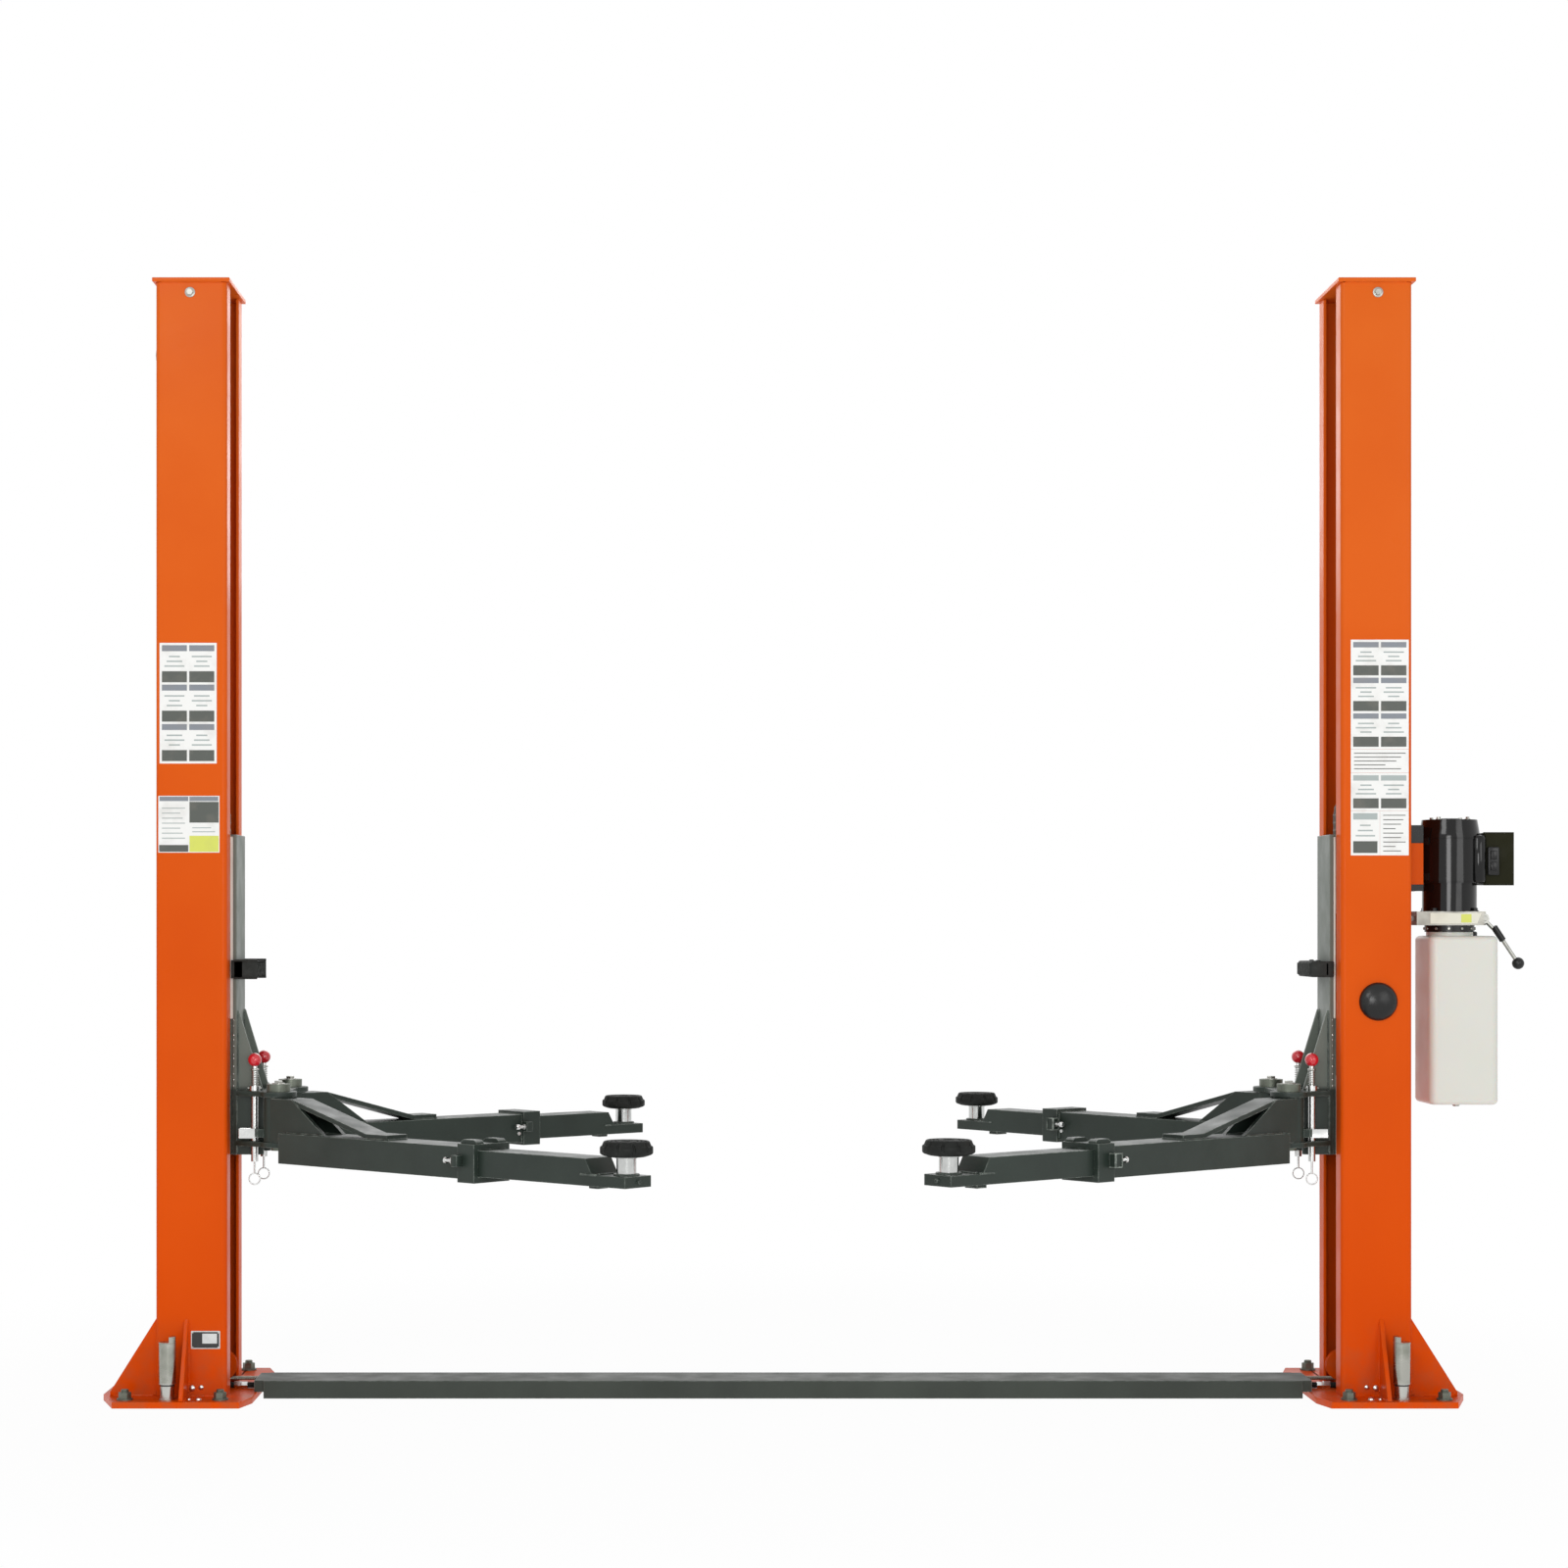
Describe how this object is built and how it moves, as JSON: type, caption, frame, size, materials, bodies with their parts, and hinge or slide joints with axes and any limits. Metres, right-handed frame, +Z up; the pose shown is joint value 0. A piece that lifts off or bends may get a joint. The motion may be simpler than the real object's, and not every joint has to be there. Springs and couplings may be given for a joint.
{
  "type": "two post car lift",
  "caption": "Floor-anchored car lift: channel columns with lifting carriages, telescoping swing arms with rubber pads, floor cover and an electric hydraulic power unit.",
  "frame": {"origin": "on the floor midway between the two columns", "axes": "+X towards the column that carries the power unit, +Y away from the side a car drives in from, +Z up"},
  "size_m": [3.6, 2.0142, 2.816],
  "materials": {
    "orange_paint": "gloss",
    "dark_paint": "satin",
    "black_paint": "satin",
    "motor_paint": "gloss",
    "zinc": "satin",
    "chrome": "polished",
    "steel_cable": "satin",
    "chain_steel": "oiled",
    "cast_aluminium": "cast",
    "lever_metal": "satin",
    "hose_rubber": "matte",
    "bumper_rubber": "matte",
    "pad_rubber": "matte",
    "slide_plastic": "waxy",
    "black_plastic": "gloss",
    "box_plastic": "matte",
    "tank_plastic": "translucent",
    "red_plastic": "gloss"
  },
  "bodies": {
    "columns": {"left_column": "orange_paint", "right_column": "orange_paint", "top_caps": "orange_paint", "base_plates": "orange_paint", "column_gussets": "orange_paint", "anchor_bolts": "zinc", "height_adapters": "chrome", "floor_cover": "dark_paint", "lock_covers": "black_plastic", "cylinder_barrels": "black_paint", "top_sheaves": "zinc", "base_sheaves": "zinc", "equalizer_cable": "steel_cable", "hydraulic_hose": "hose_rubber", "motor_bracket": "orange_paint", "motor": "motor_paint", "pump_block": "cast_aluminium", "pump_flange": "black_plastic", "oil_tank": "tank_plastic", "control_box": "box_plastic"},
    "lever": {"release_lever": "lever_metal"},
    "left_carriage_group": {"left_carriage": "dark_paint", "left_slide_blocks": "slide_plastic", "left_door_bumper": "bumper_rubber", "left_pivot_pins": "zinc"},
    "left_piston_group": {"left_piston": "chrome", "left_lift_chain": "chain_steel"},
    "right_carriage_group": {"right_carriage": "dark_paint", "right_slide_blocks": "slide_plastic", "right_door_bumper": "bumper_rubber", "right_pivot_pins": "zinc"},
    "right_piston_group": {"right_piston": "chrome", "right_lift_chain": "chain_steel"},
    "front_left_arm_group": {"front_left_arm": "dark_paint"},
    "front_left_extension_group": {"front_left_extension": "dark_paint"},
    "front_left_pad_group": {"front_left_pad_post": "chrome", "front_left_pad": "pad_rubber"},
    "front_left_lock_group": {"front_left_lock_pin": "zinc", "front_left_lock_knob": "red_plastic"},
    "rear_left_arm_group": {"rear_left_arm": "dark_paint"},
    "rear_left_extension_group": {"rear_left_extension": "dark_paint"},
    "rear_left_pad_group": {"rear_left_pad_post": "chrome", "rear_left_pad": "pad_rubber"},
    "rear_left_lock_group": {"rear_left_lock_pin": "zinc", "rear_left_lock_knob": "red_plastic"},
    "front_right_arm_group": {"front_right_arm": "dark_paint"},
    "front_right_extension_group": {"front_right_extension": "dark_paint"},
    "front_right_pad_group": {"front_right_pad_post": "chrome", "front_right_pad": "pad_rubber"},
    "front_right_lock_group": {"front_right_lock_pin": "zinc", "front_right_lock_knob": "red_plastic"},
    "rear_right_arm_group": {"rear_right_arm": "dark_paint"},
    "rear_right_extension_group": {"rear_right_extension": "dark_paint"},
    "rear_right_pad_group": {"rear_right_pad_post": "chrome", "rear_right_pad": "pad_rubber"},
    "rear_right_lock_group": {"rear_right_lock_pin": "zinc", "rear_right_lock_knob": "red_plastic"}
  },
  "joints": [
    {"name": "lever_press", "type": "hinge", "parent": "columns", "child": "lever", "pos_m": [1.786, 0, 1.212], "axis": [0, 1, 0], "range_deg": [0, 15], "stiffness_Nm_per_rad": 3, "springref_deg": -8.59},
    {"name": "left_lift", "type": "slide", "parent": "columns", "child": "left_carriage_group", "axis": [0, 0, 1], "range_m": [-0.5, 1.1]},
    {"name": "right_lift", "type": "slide", "parent": "columns", "child": "right_carriage_group", "axis": [0, 0, 1], "range_m": [-0.5, 1.1]},
    {"name": "left_piston_rise", "type": "slide", "parent": "columns", "child": "left_piston_group", "axis": [0, 0, 1], "range_m": [-0.25, 0.55]},
    {"name": "right_piston_rise", "type": "slide", "parent": "columns", "child": "right_piston_group", "axis": [0, 0, 1], "range_m": [-0.25, 0.55]},
    {"name": "front_left_swing", "type": "hinge", "parent": "left_carriage_group", "child": "front_left_arm_group", "pos_m": [-1.268, -0.115, 0.7], "axis": [0, 0, -1], "range_deg": [-37.4, 52.6]},
    {"name": "front_left_reach", "type": "slide", "parent": "front_left_arm_group", "child": "front_left_extension_group", "axis": [0.7385, -0.6743, 0], "range_m": [-0.323, 0.097]},
    {"name": "front_left_pad_rise", "type": "slide", "parent": "front_left_extension_group", "child": "front_left_pad_group", "axis": [0, 0, 1], "range_m": [0, 0.018]},
    {"name": "front_left_lock_pull", "type": "slide", "parent": "left_carriage_group", "child": "front_left_lock_group", "axis": [0, 0, 1], "range_m": [0, 0.025], "stiffness_N_per_m": 400, "springref_m": -0.02},
    {"name": "rear_left_swing", "type": "hinge", "parent": "left_carriage_group", "child": "rear_left_arm_group", "pos_m": [-1.268, 0.115, 0.7], "axis": [0, 0, 1], "range_deg": [-35.2, 54.8]},
    {"name": "rear_left_reach", "type": "slide", "parent": "rear_left_arm_group", "child": "rear_left_extension_group", "axis": [0.7638, 0.6455, 0], "range_m": [-0.23, 0.19]},
    {"name": "rear_left_pad_rise", "type": "slide", "parent": "rear_left_extension_group", "child": "rear_left_pad_group", "axis": [0, 0, 1], "range_m": [0, 0.018]},
    {"name": "rear_left_lock_pull", "type": "slide", "parent": "left_carriage_group", "child": "rear_left_lock_group", "axis": [0, 0, 1], "range_m": [0, 0.025], "stiffness_N_per_m": 400, "springref_m": -0.02},
    {"name": "front_right_swing", "type": "hinge", "parent": "right_carriage_group", "child": "front_right_arm_group", "pos_m": [1.268, -0.115, 0.7], "axis": [0, 0, 1], "range_deg": [-35, 55]},
    {"name": "front_right_reach", "type": "slide", "parent": "front_right_arm_group", "child": "front_right_extension_group", "axis": [-0.766, -0.6428, 0], "range_m": [-0.323, 0.097]},
    {"name": "front_right_pad_rise", "type": "slide", "parent": "front_right_extension_group", "child": "front_right_pad_group", "axis": [0, 0, 1], "range_m": [0, 0.018]},
    {"name": "front_right_lock_pull", "type": "slide", "parent": "right_carriage_group", "child": "front_right_lock_group", "axis": [0, 0, 1], "range_m": [0, 0.025], "stiffness_N_per_m": 400, "springref_m": -0.02},
    {"name": "rear_right_swing", "type": "hinge", "parent": "right_carriage_group", "child": "rear_right_arm_group", "pos_m": [1.268, 0.115, 0.7], "axis": [0, 0, -1], "range_deg": [-46.5, 43.5]},
    {"name": "rear_right_reach", "type": "slide", "parent": "rear_right_arm_group", "child": "rear_right_extension_group", "axis": [-0.6225, 0.7826, 0], "range_m": [-0.21, 0.21]},
    {"name": "rear_right_pad_rise", "type": "slide", "parent": "rear_right_extension_group", "child": "rear_right_pad_group", "axis": [0, 0, 1], "range_m": [0, 0.018]},
    {"name": "rear_right_lock_pull", "type": "slide", "parent": "right_carriage_group", "child": "rear_right_lock_group", "axis": [0, 0, 1], "range_m": [0, 0.025], "stiffness_N_per_m": 400, "springref_m": -0.02}
  ],
  "couplings": [
    {"joint": "right_lift", "follows": "left_lift", "ratio": 1},
    {"joint": "left_piston_rise", "follows": "left_lift", "ratio": 0.5},
    {"joint": "right_piston_rise", "follows": "left_lift", "ratio": 0.5}
  ]
}
